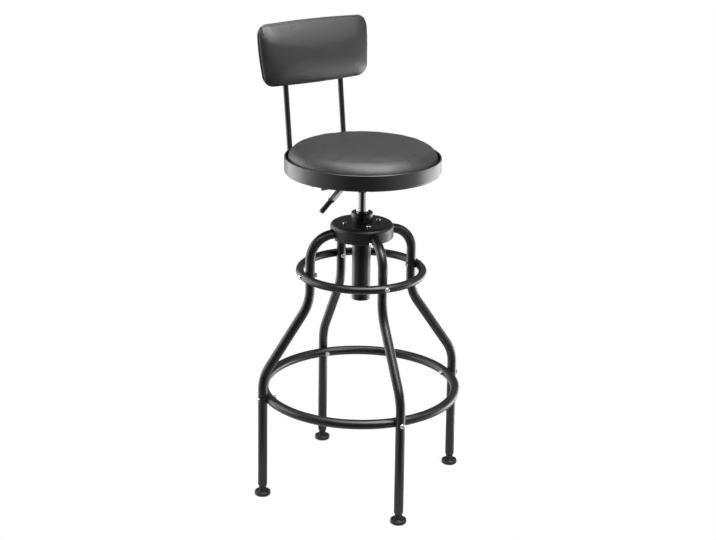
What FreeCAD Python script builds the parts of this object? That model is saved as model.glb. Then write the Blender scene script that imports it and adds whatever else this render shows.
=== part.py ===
import FreeCAD, Part
import math
import os

# Work stool with four bent tube legs, two rings, a gas lift and a small backrest.
# Millimetres. +Z is up and the origin is on the floor, on the axis that the seat turns
# about. The sitter faces -Y, so the backrest is at +Y and the lift lever at -X.

# Legs, in the plane through the axis and the leg: distance from the axis, and height
LEG_NAMES = ("right", "rear", "left", "front")
LEG_ANGLE = -14.4
LEG_TUBE = 22.2
LEG_WALL = 1.5
STUB_START_R = 30.0
STUB_Z = 632.0
SHOULDER_R = 127.5
SHOULDER_BEND = 56.7
KNEE_Z = 471.0
KNEE_BEND = 109.0
ANKLE_R = 244.2
ANKLE_Z = 301.0
ANKLE_BEND = 92.0
FOOT_R = 246.4
LEG_END_Z = 28.0
LEG_TRIM = 2.0

# Rings: each tube is dimpled where it is screwed against a leg
UPPER_RING_Z = 536.9
UPPER_RING_TUBE = 19.0
UPPER_RING_DIMPLE = 4.6
FOOT_RING_Z = 245.4
FOOT_RING_TUBE = 22.2
FOOT_RING_DIMPLE = 6.3
RING_WALL = 1.5
DIMPLE_GAP = 0.1
RING_NUT_GAP = 0.1

# Feet
FOOT_PAD_D = 38.0
FOOT_PAD_H = 10.5
FOOT_PAD_EDGE = 3.5
FOOT_PAD_CHAMFER = 2.5
FOOT_PAD_DISH = 1.0
FOOT_NECK_D = 17.0
FOOT_STEM_D = 8.0
FOOT_STEM_REACH = 28.0
PLUG_INSERT = 24.0
PLUG_BEVEL = 9.0
PLUG_EDGE = 1.0
PLUG_GAP = 0.4
FOOT_GAP = 0.3

# Hub that the leg stubs are screwed up into
HUB_D = 147.0
HUB_ABOVE_STUB = 22.0
HUB_BELOW_STUB = 13.0
HUB_WALL = 4.0
HUB_TOP = 5.0
HUB_EDGE = 9.5
HUB_LIP = 3.0
HUB_SLOT_GAP = 1.9
SADDLE_WIDTH = 30.0
SADDLE_GAP = 0.1
SADDLE_WALL_GAP = 1.0
STUB_END_GAP = 2.0
BOSS_D = 56.0
BOSS_DEPTH = 22.0
CLAMP_D = 100.0
CLAMP_THICK = 7.0
CLAMP_BELOW_STUB = 4.0
HUB_SCREW_R = 42.0

# Column, collar and guide bush
COLUMN_D = 43.7
COLUMN_WALL = 2.0
COLUMN_GAP = 0.15
COLLAR_NECK_D = 48.5
COLLAR_FLANGE_D = 50.0
COLLAR_NECK_H = 13.0
COLLAR_FLANGE_H = 13.0
COLLAR_EDGE = 3.5
COLLAR_GROOVE = 1.2
COLLAR_LIP = 3.0
COLLAR_LIP_GAP = 0.4
BUSH_LENGTH = 77.0
BUSH_FLANGE_D = 45.0
BUSH_FLANGE_H = 3.0
BUSH_GAP = 0.1

# Gas lift: travel from the height in the picture, and the pieces inside the column
LIFT_UP = 55.0
LIFT_DOWN = 45.0
CYLINDER_D = 28.0
CYLINDER_BORE = 25.0
CYLINDER_SOCKET_BORE = 20.0
CYLINDER_TOP_D = 26.4
CYLINDER_GRIP = 5.0
CYLINDER_EDGE = 0.5
COLUMN_SPARE = 2.0
SLIDE_GAP = 0.05
ROD_D = 10.0
ROD_END_D = 8.0
ROD_TAIL = 2.0
ROD_EDGE = 0.5
ROD_PAST_PISTON = 1.0
PISTON_H = 12.0
PISTON_CLEAR = 14.0
SEAL_H = 3.0
SEAL_DEPTH = 2.2
GLAND_H = 10.0
GLAND_INSET = 1.0
VALVE_H = 31.0
VALVE_INSET = 2.5
VALVE_BORE_DEPTH = 23.0
BUTTON_D = 6.0
BUTTON_LENGTH = 24.0
BUTTON_PROUD = 4.5
BUTTON_EDGE = 1.5
END_PLATE_H = 5.0
END_PLATE_INSET = 12.0
CLIP_D = 14.0
CLIP_H = 1.5
CLIP_GROOVE = 0.5
RACE_D = 22.0
RACE_H = 2.0
BALL_D = 4.0
BALL_GAP = 0.05
BALL_COUNT = 8
BALL_CIRCLE_D = 15.4
CAGE_H = 1.6
CAGE_RIM = 1.2

# Seat
SEAT_BOTTOM_Z = 775.3
SEAT_D = 360.0
PAN_H = 37.0
PAN_SHEET = 1.6
PAN_CORNER = 4.5
PAN_BEAD = 3.8
BOARD_GAP = 6.4
BOARD_THICK = 12.0
CUSHION_GAP = 1.7
CUSHION_FOOT_INSET = 3.5
CUSHION_TUCK = 8.0
CUSHION_SHOULDER_Z = 30.7
CUSHION_CROWN = 41.0
CUSHION_SHOULDER = 30.0

# Channel, socket and lever under the seat
CHANNEL_LENGTH = 258.0
CHANNEL_WIDTH = 40.0
CHANNEL_DEPTH = 22.0
CHANNEL_SHEET = 2.5
CHANNEL_CORNER = 3.5
CHANNEL_BOLT_X = 82.0
CHANNEL_BOLT_Y = 10.0
SOCKET_D = 34.0
SOCKET_ABOVE = 9.7
SOCKET_BELOW = 24.3
SOCKET_PLATE = 3.0
SOCKET_PLATE_LENGTH = 60.0
CYLINDER_PROUD = 0.5
PIVOT_X = -36.0
PIVOT_DROP = 11.3
PIVOT_PIN_D = 6.0
PIVOT_SLEEVE_D = 10.0
PIN_GAP = 0.05
PIN_HEAD_D = 9.0
PIN_HEAD_H = 2.0
LEVER_SLOPE = 40.2
LEVER_WIDTH = 14.0
LEVER_DEPTH = 7.0
LEVER_END_DEPTH = 8.0
LEVER_SHEET = 1.5
LEVER_NOSE_X = 4.0
LEVER_NOSE_H = 3.0
LEVER_GAP = 0.3
LEVER_ARM = 67.0
LEVER_TANG = 30.0
LEVER_TANG_WIDTH = 8.0
LEVER_TANG_DEPTH = 4.0
GRIP_LENGTH = 38.5
GRIP_WIDTH = 12.0
GRIP_DEPTH = 8.5
GRIP_EDGE = 3.0
GRIP_COLLAR = 4.0
GRIP_COLLAR_RISE = 0.8
GRIP_GAP = 0.1

# Backrest posts: a run under the seat, a bend, and a straight part that leans back
POST_TUBE = 12.7
POST_WALL = 1.5
POST_SPACING = 156.5
POST_RIM_INSET = 2.3
POST_BEND = 25.0
POST_RUN = 135.7
POST_RECLINE = 6.7
POST_PAST_SCREW = 34.2
POST_BOLT_INSET = (117.7, 49.7)
SADDLE_LENGTH = 16.0
SADDLE_ACROSS = 14.0
POST_DROP = 3.0
POST_CAP_LIP = 2.0
POST_CAP_INSERT = 10.0
POST_CAP_GAP = 0.2

# Backrest
PAD_RISE = 183.8
PAD_WIDTH = 307.0
PAD_HEIGHT = 148.0
PAD_CORNER = 29.0
PAD_BOW = 1.8
PAD_TAPER = 4.8
PAD_SIDE = 3.0
PAD_CROWN = 29.0
PAD_CROWN_REACH = 60.0
PAD_TUCK = 2.0
PAD_STEPS = 6
PAD_LAST_STEP = 78.0
BACK_PANEL_INSET = 6.0
BACK_PANEL_THICK = 2.5
BACK_BOARD_INSET = 9.0
BACK_BOARD_THICK = 11.0
BACK_GAP = 0.2
BACK_SCREW_RISE = (24.0, 104.0)

# Fasteners
SCREW_D = 6.0
SCREW_HOLE_GAP = 0.3
THREAD_GAP = 0.05
HEAD_D = 11.5
HEAD_H = 3.6
HEAD_EDGE = 2.2
SOCKET_ACROSS = 4.0
SOCKET_DEPTH = 2.2
SPOT_FACE = 0.5
NUT_ACROSS = 10.0
NUT_H = 5.0
SCREW_TAIL = 1.5
BOLT_HEAD_ACROSS = 10.0
BOLT_HEAD_H = 4.0
TEE_FLANGE_D = 16.0
TEE_FLANGE_H = 1.4
TEE_BARREL_D = 8.0
TEE_BARREL_H = 8.0

# How far a shape that cuts runs past the face, and the shortest run kept in a path
OVERCUT = 2.0
SHORTEST_RUN = 0.001

X_AXIS = FreeCAD.Vector(1, 0, 0)
Y_AXIS = FreeCAD.Vector(0, 1, 0)
Z_AXIS = FreeCAD.Vector(0, 0, 1)

# Heights and radii that follow from the sizes above
HUB_TOP_Z = STUB_Z + HUB_ABOVE_STUB
HUB_BOTTOM_Z = STUB_Z - HUB_BELOW_STUB
CLAMP_BOTTOM_Z = STUB_Z - LEG_TUBE / 2 - CLAMP_BELOW_STUB
COLLAR_TOP_Z = HUB_TOP_Z + COLLAR_NECK_H + COLLAR_FLANGE_H
BUSH_TOP_Z = COLLAR_TOP_Z - COLLAR_LIP
BUSH_BOTTOM_Z = BUSH_TOP_Z - BUSH_LENGTH
COLUMN_BORE = COLUMN_D - 2 * COLUMN_WALL

CYLINDER_BOTTOM_Z = BUSH_BOTTOM_Z - LIFT_UP - CYLINDER_GRIP
LOWEST_CYLINDER_Z = CYLINDER_BOTTOM_Z - LIFT_DOWN
ROD_SHOULDER_Z = LOWEST_CYLINDER_Z - COLUMN_SPARE
UPPER_RACE_Z = ROD_SHOULDER_Z - RACE_H
BALL_Z = UPPER_RACE_Z - BALL_GAP - BALL_D / 2
LOWER_RACE_Z = BALL_Z - BALL_D / 2 - BALL_GAP - RACE_H
END_PLATE_Z = LOWER_RACE_Z - END_PLATE_H
COLUMN_BOTTOM_Z = END_PLATE_Z - END_PLATE_INSET
GLAND_TOP_Z = CYLINDER_BOTTOM_Z + GLAND_INSET + GLAND_H
PISTON_Z = GLAND_TOP_Z + LIFT_UP + PISTON_CLEAR

CHANNEL_BOTTOM_Z = SEAT_BOTTOM_Z - CHANNEL_DEPTH
CHANNEL_WEB_Z = SEAT_BOTTOM_Z - CHANNEL_SHEET
SOCKET_TOP_Z = CHANNEL_BOTTOM_Z + SOCKET_ABOVE
SOCKET_BOTTOM_Z = CHANNEL_BOTTOM_Z - SOCKET_BELOW
CYLINDER_TOP_Z = SOCKET_TOP_Z + CYLINDER_PROUD
BUTTON_TOP_Z = CYLINDER_TOP_Z + BUTTON_PROUD
VALVE_TOP_Z = CYLINDER_TOP_Z - VALVE_INSET
PIVOT_Z = SEAT_BOTTOM_Z - PIVOT_DROP
BOARD_Z = SEAT_BOTTOM_Z + PAN_SHEET
BOARD_TOP_Z = BOARD_Z + BOARD_THICK
BOARD_D = SEAT_D - 2 * (PAN_SHEET + BOARD_GAP)
CUSHION_D = SEAT_D - 2 * (PAN_BEAD + CUSHION_GAP)
POST_RUN_Z = SEAT_BOTTOM_Z - POST_DROP - POST_TUBE / 2
POST_SETBACK = SEAT_D / 2 - POST_RIM_INSET
POST_LENGTH = PAD_RISE + BACK_SCREW_RISE[1] + POST_PAST_SCREW
SCREW_HOLE_D = SCREW_D + 2 * SCREW_HOLE_GAP


def corner(before, point, after, radius):
    """Start, middle and end of the arc that rounds the corner at point."""
    to_before = (before - point).normalize()
    to_after = (after - point).normalize()
    half_angle = to_before.getAngle(to_after) / 2
    reach = radius / math.tan(half_angle)
    inward = (to_before + to_after).normalize()
    centre = point + inward * (radius / math.sin(half_angle))
    return point + to_before * reach, centre - inward * radius, point + to_after * reach


def rounded_path(points, radii, closed):
    """A wire of straight runs through the points, with a tangent arc where there is a radius."""
    count = len(points)
    corners = []
    for index, point in enumerate(points):
        if radii[index] > 0:
            after = points[(index + 1) % count]
            corners.append(corner(points[index - 1], point, after, radii[index]))
        else:
            corners.append((point,))
    edges = []
    for index, arc in enumerate(corners):
        if len(arc) == 3:
            edges.append(Part.Arc(*arc).toShape())
        if closed or index < count - 1:
            start = arc[-1]
            end = corners[(index + 1) % count][0]
            if start.distanceToPoint(end) > SHORTEST_RUN:
                edges.append(Part.LineSegment(start, end).toShape())
    return Part.Wire(edges)


def bent_rod(points, bends, diameter):
    """A round bar along a path that is rounded at each inner point."""
    path = rounded_path(points, bends, False)
    section = Part.Circle(points[0], points[1] - points[0], diameter / 2)
    return path.makePipeShell([Part.Wire(section.toShape())], True, False)


def lathe(profile):
    """Turn a closed profile of (radius, height, corner radius) about the Z axis."""
    points = [FreeCAD.Vector(radius, 0, height) for radius, height, _ in profile]
    radii = [rounding for _, _, rounding in profile]
    return Part.Face(rounded_path(points, radii, True)).revolve(FreeCAD.Vector(), Z_AXIS, 360)


def disc(diameter, bottom, top):
    return Part.makeCylinder(diameter / 2, top - bottom, FreeCAD.Vector(0, 0, bottom))


def sleeve(outer, inner, bottom, top):
    return disc(outer, bottom, top).cut(disc(inner, bottom, top))


def box(x0, x1, y0, y1, z0, z1):
    return Part.makeBox(x1 - x0, y1 - y0, z1 - z0, FreeCAD.Vector(x0, y0, z0))


def prism(outline, rounding, direction):
    """Extrude a closed outline, with every corner rounded alike, along a vector."""
    return Part.Face(rounded_path(outline, [rounding] * len(outline), True)).extrude(direction)


def aimed(shape, position, axis):
    """Move a shape built along Z so that its Z axis points along axis, from position."""
    placed = shape.copy()
    placed.Placement = FreeCAD.Placement(position, FreeCAD.Rotation(Z_AXIS, axis))
    return placed


def turned(shape, angle):
    placed = shape.copy()
    placed.rotate(FreeCAD.Vector(), Z_AXIS, angle)
    return placed


def around(shape):
    """Copies of a shape at the angle of each leg."""
    return [turned(shape, LEG_ANGLE + 360 / len(LEG_NAMES) * k) for k in range(len(LEG_NAMES))]


def save(name, *solids):
    shape = solids[0] if len(solids) == 1 else Part.makeCompound(list(solids))
    shape.exportStep("parts/" + name + ".step")


# Fasteners, built along Z with the underside of the head at the origin


def hexagon(across, bottom, top):
    radius = across / math.sqrt(3)
    points = []
    for k in range(6):
        angle = math.radians(60 * k)
        points.append(FreeCAD.Vector(radius * math.cos(angle), radius * math.sin(angle), bottom))
    return prism(points, 0, FreeCAD.Vector(0, 0, top - bottom))


def button_screw(length):
    """A round head with a hexagon socket, and its shank below."""
    head = lathe([
        (0, 0, 0),
        (HEAD_D / 2, 0, 0),
        (HEAD_D / 2, HEAD_H, HEAD_EDGE),
        (0, HEAD_H, 0),
    ])
    head = head.cut(hexagon(SOCKET_ACROSS, HEAD_H - SOCKET_DEPTH, HEAD_H))
    return head.fuse(disc(SCREW_D, -length, 0)).removeSplitter()


def hex_bolt(length):
    return hexagon(BOLT_HEAD_ACROSS, 0, BOLT_HEAD_H).fuse(disc(SCREW_D, -length, 0)).removeSplitter()


def hex_nut():
    return hexagon(NUT_ACROSS, 0, NUT_H).cut(disc(SCREW_D + 2 * THREAD_GAP, 0, NUT_H))


def tee_nut():
    """A flange with a threaded barrel below it."""
    body = disc(TEE_FLANGE_D, -TEE_FLANGE_H, 0).fuse(disc(TEE_BARREL_D, -TEE_BARREL_H, 0))
    return body.cut(disc(SCREW_D + 2 * THREAD_GAP, -TEE_BARREL_H, 0)).removeSplitter()


def tee_pocket():
    """The space that a tee nut fills, with the screw hole below it."""
    pocket = disc(TEE_FLANGE_D + 2 * SCREW_HOLE_GAP, -TEE_FLANGE_H, OVERCUT)
    pocket = pocket.fuse(disc(TEE_BARREL_D + 2 * SCREW_HOLE_GAP, -TEE_BARREL_H - SCREW_HOLE_GAP, 0))
    return pocket.fuse(disc(SCREW_HOLE_D, -BOARD_THICK - OVERCUT, 0))


# Legs and rings


def leg_points():
    return [
        FreeCAD.Vector(STUB_START_R, 0, STUB_Z),
        FreeCAD.Vector(SHOULDER_R, 0, STUB_Z),
        FreeCAD.Vector(SHOULDER_R, 0, KNEE_Z),
        FreeCAD.Vector(ANKLE_R, 0, ANKLE_Z),
        FreeCAD.Vector(FOOT_R, 0, LEG_END_Z - LEG_TRIM),
    ]


def leg_bar(diameter):
    return bent_rod(leg_points(), [0, SHOULDER_BEND, KNEE_BEND, ANKLE_BEND, 0], diameter)


def leg_radius_at(height):
    """Distance from the axis to the leg's centre line, on the run below the ankle."""
    share = (ANKLE_Z - height) / (ANKLE_Z - LEG_END_Z + LEG_TRIM)
    return ANKLE_R + (FOOT_R - ANKLE_R) * share


def upper_ring_radius():
    return SHOULDER_R + (LEG_TUBE + UPPER_RING_TUBE) / 2 - UPPER_RING_DIMPLE


def foot_ring_radius():
    return leg_radius_at(FOOT_RING_Z) - (LEG_TUBE + FOOT_RING_TUBE) / 2 + FOOT_RING_DIMPLE


def radial_hole(height, inner, outer, diameter):
    hole = Part.makeCylinder(diameter / 2, outer - inner)
    return aimed(hole, FreeCAD.Vector(inner, 0, height), X_AXIS)


def ring_fasteners(height, head_r, nut_r):
    """A screw pointing in from head_r and its nut, whose outer face is at nut_r."""
    length = head_r - nut_r + NUT_H + SCREW_TAIL
    screw = aimed(button_screw(length), FreeCAD.Vector(head_r, 0, height), X_AXIS)
    nut = aimed(hex_nut(), FreeCAD.Vector(nut_r - NUT_H, 0, height), X_AXIS)
    return screw, nut


def upper_ring_joint():
    """Seat radii of the screw heads, outside the ring, and of the nuts, inside the legs."""
    head_r = upper_ring_radius() + UPPER_RING_TUBE / 2 - SPOT_FACE
    return head_r, SHOULDER_R - LEG_TUBE / 2 + SPOT_FACE


def foot_ring_joint():
    """Seat radii of the screw heads, outside the legs, and of the nuts, inside the ring."""
    head_r = leg_radius_at(FOOT_RING_Z) + LEG_TUBE / 2 - SPOT_FACE
    return head_r, foot_ring_radius() - FOOT_RING_TUBE / 2 - RING_NUT_GAP


def spot_cut(height, seat_r, outward):
    """Flat seat for a screw head or nut on a round tube, cleared away from the seat."""
    depth = 4 * SPOT_FACE
    start = seat_r if outward else seat_r - depth
    return radial_hole(height, start, start + depth, HEAD_D + 2 * SPOT_FACE)


def make_leg():
    leg = leg_bar(LEG_TUBE).cut(leg_bar(LEG_TUBE - 2 * LEG_WALL))
    trim = disc(2 * LEG_TUBE, LEG_END_Z - 2 * LEG_TRIM, LEG_END_Z)
    trim.translate(FreeCAD.Vector(FOOT_R, 0, 0))
    leg = leg.cut(trim)
    upper_head, upper_nut = upper_ring_joint()
    foot_head, foot_nut = foot_ring_joint()
    leg = leg.cut(radial_hole(UPPER_RING_Z, upper_nut - OVERCUT, upper_head, SCREW_HOLE_D))
    leg = leg.cut(radial_hole(FOOT_RING_Z, foot_nut, foot_head + OVERCUT, SCREW_HOLE_D))
    leg = leg.cut(spot_cut(UPPER_RING_Z, upper_nut, False))
    leg = leg.cut(spot_cut(FOOT_RING_Z, foot_head, True))
    hub_hole = disc(SCREW_HOLE_D, STUB_Z - LEG_TUBE, STUB_Z + LEG_TUBE)
    hub_hole.translate(FreeCAD.Vector(HUB_SCREW_R, 0, 0))
    return leg.cut(hub_hole)


def make_ring(radius, height, tube, joint):
    """A closed tube ring, pressed in where each leg lies against it and drilled for its screw."""
    centre = FreeCAD.Vector(0, 0, height)
    dimple = LEG_TUBE + 2 * DIMPLE_GAP
    outer = Part.makeTorus(radius, tube / 2, centre).cut(around(leg_bar(dimple)))
    bore = Part.makeTorus(radius, tube / 2 - RING_WALL, centre)
    bore = bore.cut(around(leg_bar(dimple + 2 * RING_WALL)))
    head_r, nut_r = joint
    ring = outer.cut(bore)
    hole = radial_hole(height, nut_r - OVERCUT, head_r + OVERCUT, SCREW_HOLE_D)
    return ring.cut(around(hole))


def make_legs_and_rings():
    for name, leg in zip(LEG_NAMES, around(make_leg())):
        save("leg_" + name, leg)
    upper = make_ring(upper_ring_radius(), UPPER_RING_Z, UPPER_RING_TUBE, upper_ring_joint())
    upper = upper.cut(around(spot_cut(UPPER_RING_Z, upper_ring_joint()[0], True)))
    foot = make_ring(foot_ring_radius(), FOOT_RING_Z, FOOT_RING_TUBE, foot_ring_joint())
    save("upper_ring", upper)
    save("foot_ring", foot)
    for name, height, joint in (
        ("upper_ring", UPPER_RING_Z, upper_ring_joint()),
        ("foot_ring", FOOT_RING_Z, foot_ring_joint()),
    ):
        screw, nut = ring_fasteners(height, *joint)
        save(name + "_screws", *around(screw))
        save(name + "_nuts", *around(nut))


# Feet


def make_feet():
    """A bevelled plug in each leg end, and a pad on a stem that screws up into it."""
    tube_bore = LEG_TUBE - 2 * LEG_WALL
    plug_bottom = LEG_END_Z - PLUG_BEVEL
    plug = lathe([
        (0, plug_bottom, 0),
        (FOOT_NECK_D / 2, plug_bottom, 0),
        (LEG_TUBE / 2, LEG_END_Z, 0),
        (tube_bore / 2 - PLUG_GAP, LEG_END_Z, 0),
        (tube_bore / 2 - PLUG_GAP, LEG_END_Z + PLUG_INSERT, PLUG_EDGE),
        (0, LEG_END_Z + PLUG_INSERT, 0),
    ])
    neck_top = plug_bottom - FOOT_GAP
    stem_top = neck_top + FOOT_STEM_REACH
    plug = plug.cut(disc(FOOT_STEM_D + 2 * SLIDE_GAP, plug_bottom, stem_top + FOOT_GAP))
    pad_r = FOOT_PAD_D / 2
    neck_r = FOOT_NECK_D / 2
    dish_z = FOOT_PAD_H - FOOT_PAD_DISH
    pad = lathe([
        (0, 0, 0),
        (pad_r - FOOT_PAD_CHAMFER, 0, 0),
        (pad_r, FOOT_PAD_CHAMFER, FOOT_PAD_CHAMFER / 2),
        (pad_r, FOOT_PAD_H, FOOT_PAD_EDGE),
        (pad_r - FOOT_PAD_EDGE - FOOT_PAD_DISH, FOOT_PAD_H, 0),
        (neck_r + FOOT_PAD_DISH, dish_z, FOOT_PAD_DISH),
        (neck_r, dish_z + FOOT_PAD_DISH, 0),
        (neck_r, neck_top, FOOT_PAD_DISH / 2),
        (0, neck_top, 0),
    ])
    stem_bottom = neck_top / 3
    pad = pad.cut(disc(FOOT_STEM_D, stem_bottom, neck_top))
    stem = disc(FOOT_STEM_D, stem_bottom, stem_top)
    for shape in (plug, pad, stem):
        shape.translate(FreeCAD.Vector(FOOT_R, 0, 0))
    save("leg_plugs", *around(plug))
    for name, foot_pad, foot_stem in zip(LEG_NAMES, around(pad), around(stem)):
        save("foot_pad_" + name, foot_pad)
        save("foot_stem_" + name, foot_stem)


# Hub


def make_hub():
    """An upturned cup with a saddle over each leg stub and a boss round the column."""
    radius = HUB_D / 2
    roof = HUB_TOP_Z - HUB_TOP
    hub = lathe([
        (0, HUB_BOTTOM_Z, 0),
        (radius, HUB_BOTTOM_Z, HUB_LIP),
        (radius, HUB_TOP_Z, HUB_EDGE),
        (0, HUB_TOP_Z, 0),
    ])
    inside = radius - HUB_WALL
    hub = hub.cut(lathe([
        (0, HUB_BOTTOM_Z - OVERCUT, 0),
        (inside, HUB_BOTTOM_Z - OVERCUT, 0),
        (inside, roof, HUB_EDGE - HUB_WALL),
        (0, roof, 0),
    ]))
    half = SADDLE_WIDTH / 2
    saddle = box(0, inside - SADDLE_WALL_GAP, -half, half, STUB_Z, roof + HUB_TOP / 2)
    hub = hub.fuse(around(saddle))
    hub = hub.fuse(disc(BOSS_D, HUB_TOP_Z - BOSS_DEPTH, HUB_TOP_Z))
    stub = radial_hole(STUB_Z, STUB_START_R - STUB_END_GAP, radius, LEG_TUBE + 2 * SADDLE_GAP)
    slot_width = LEG_TUBE + 2 * HUB_SLOT_GAP
    slot_in = inside - OVERCUT
    slot_out = radius + OVERCUT
    slot_bottom = HUB_BOTTOM_Z - OVERCUT
    slot = radial_hole(STUB_Z, slot_in, slot_out, slot_width)
    below = box(slot_in, slot_out, -slot_width / 2, slot_width / 2, slot_bottom, STUB_Z)
    hub = hub.cut(around(stub) + around(slot) + around(below))
    hub = hub.cut(disc(COLUMN_D + 2 * COLUMN_GAP, slot_bottom, HUB_TOP_Z + OVERCUT))
    return hub.cut(around(hub_screw_hole())).removeSplitter()


def hub_screw_hole():
    hole = disc(SCREW_HOLE_D, CLAMP_BOTTOM_Z - OVERCUT, HUB_TOP_Z + OVERCUT)
    hole.translate(FreeCAD.Vector(HUB_SCREW_R, 0, 0))
    return hole


def make_clamp():
    """A disc under the stubs, grooved for them."""
    clamp = disc(CLAMP_D, CLAMP_BOTTOM_Z, CLAMP_BOTTOM_Z + CLAMP_THICK)
    clamp = clamp.cut(disc(COLUMN_D + 2 * COLUMN_GAP, CLAMP_BOTTOM_Z, STUB_Z))
    start = STUB_START_R - STUB_END_GAP
    groove = radial_hole(STUB_Z, start, CLAMP_D, LEG_TUBE + 2 * SADDLE_GAP)
    return clamp.cut(around(groove) + around(hub_screw_hole())).removeSplitter()


def make_hub_group():
    save("hub", make_hub())
    save("leg_clamp", make_clamp())
    length = HUB_TOP_Z - CLAMP_BOTTOM_Z + NUT_H + SCREW_TAIL
    screw = button_screw(length)
    screw.translate(FreeCAD.Vector(HUB_SCREW_R, 0, HUB_TOP_Z))
    nut = hex_nut()
    nut.translate(FreeCAD.Vector(HUB_SCREW_R, 0, CLAMP_BOTTOM_Z - NUT_H))
    save("hub_screws", *around(screw))
    save("hub_nuts", *around(nut))


# Column


def make_column_group():
    save("column_tube", sleeve(COLUMN_D, COLUMN_BORE, COLUMN_BOTTOM_Z, HUB_TOP_Z))
    slide = CYLINDER_D + 2 * SLIDE_GAP
    bush = disc(COLUMN_BORE - 2 * BUSH_GAP, BUSH_BOTTOM_Z, BUSH_TOP_Z)
    bush = bush.fuse(disc(BUSH_FLANGE_D, HUB_TOP_Z, HUB_TOP_Z + BUSH_FLANGE_H))
    bush = bush.cut(disc(slide, BUSH_BOTTOM_Z, BUSH_TOP_Z)).removeSplitter()
    save("guide_bush", bush)
    neck_top = HUB_TOP_Z + COLLAR_NECK_H
    collar = lathe([
        (0, HUB_TOP_Z, 0),
        (COLLAR_NECK_D / 2, HUB_TOP_Z, 0),
        (COLLAR_NECK_D / 2, neck_top - COLLAR_GROOVE, 0),
        (COLLAR_NECK_D / 2 - COLLAR_GROOVE, neck_top - COLLAR_GROOVE, 0),
        (COLLAR_NECK_D / 2 - COLLAR_GROOVE, neck_top, 0),
        (COLLAR_FLANGE_D / 2, neck_top, COLLAR_EDGE / 2),
        (COLLAR_FLANGE_D / 2, COLLAR_TOP_Z, COLLAR_EDGE),
        (0, COLLAR_TOP_Z, 0),
    ])
    flange_space = HUB_TOP_Z + BUSH_FLANGE_H + BUSH_GAP
    collar = collar.cut([
        disc(BUSH_FLANGE_D + 2 * BUSH_GAP, HUB_TOP_Z, flange_space),
        disc(COLUMN_BORE, HUB_TOP_Z, BUSH_TOP_Z + BUSH_GAP),
        disc(CYLINDER_D + 2 * COLLAR_LIP_GAP, HUB_TOP_Z, COLLAR_TOP_Z),
    ])
    save("collar", collar)
    plate = disc(COLUMN_BORE - 2 * BUSH_GAP, END_PLATE_Z, END_PLATE_Z + END_PLATE_H)
    save("end_plate", plate.cut(disc(ROD_END_D + 2 * SLIDE_GAP, END_PLATE_Z, LOWER_RACE_Z)))
    lower_bore = ROD_END_D + 4 * SLIDE_GAP
    save("bearing_race_lower", sleeve(RACE_D, lower_bore, LOWER_RACE_Z, LOWER_RACE_Z + RACE_H))


# Gas lift: rod body


def make_rod_group():
    rod_r = ROD_D / 2
    end_r = ROD_END_D / 2
    clip_top = END_PLATE_Z - 2 * SLIDE_GAP
    clip_bottom = clip_top - CLIP_H
    rod = lathe([
        (0, clip_bottom - ROD_TAIL, 0),
        (end_r, clip_bottom - ROD_TAIL, ROD_EDGE),
        (end_r, clip_bottom, 0),
        (end_r - CLIP_GROOVE, clip_bottom, 0),
        (end_r - CLIP_GROOVE, clip_top, 0),
        (end_r, clip_top, 0),
        (end_r, ROD_SHOULDER_Z, 0),
        (rod_r, ROD_SHOULDER_Z, 0),
        (rod_r, PISTON_Z, 0),
        (end_r, PISTON_Z, 0),
        (end_r, PISTON_Z + PISTON_H + ROD_PAST_PISTON, ROD_EDGE),
        (0, PISTON_Z + PISTON_H + ROD_PAST_PISTON, 0),
    ])
    save("piston_rod", rod)
    save("rod_clip", sleeve(CLIP_D, ROD_END_D - 2 * CLIP_GROOVE, clip_bottom, clip_top))
    save("bearing_race_upper", sleeve(RACE_D, ROD_END_D, UPPER_RACE_Z, ROD_SHOULDER_Z))
    balls = []
    pockets = []
    for k in range(BALL_COUNT):
        angle = math.radians(360 / BALL_COUNT * k)
        x = BALL_CIRCLE_D / 2 * math.cos(angle)
        y = BALL_CIRCLE_D / 2 * math.sin(angle)
        centre = FreeCAD.Vector(x, y, BALL_Z)
        balls.append(Part.makeSphere(BALL_D / 2, centre))
        pockets.append(Part.makeSphere(BALL_D / 2 + BALL_GAP, centre))
    save("bearing_balls", *balls)
    cage_outer = BALL_CIRCLE_D + BALL_D + 2 * CAGE_RIM
    cage_inner = BALL_CIRCLE_D - BALL_D - 2 * CAGE_RIM
    cage = sleeve(cage_outer, cage_inner, BALL_Z - CAGE_H / 2, BALL_Z + CAGE_H / 2)
    save("bearing_cage", cage.cut(pockets))
    piston_d = CYLINDER_BORE - 2 * SLIDE_GAP
    seal_bottom = PISTON_Z + (PISTON_H - SEAL_H) / 2
    groove_d = piston_d - 2 * SEAL_DEPTH
    seal_space = sleeve(CYLINDER_BORE, groove_d, seal_bottom, seal_bottom + SEAL_H)
    piston = sleeve(piston_d, ROD_END_D, PISTON_Z, PISTON_Z + PISTON_H)
    save("piston", piston.cut(seal_space))
    seal = sleeve(CYLINDER_BORE - SLIDE_GAP, groove_d, seal_bottom, seal_bottom + SEAL_H)
    save("piston_seal", seal)


# Gas lift: cylinder, valve and button


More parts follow.
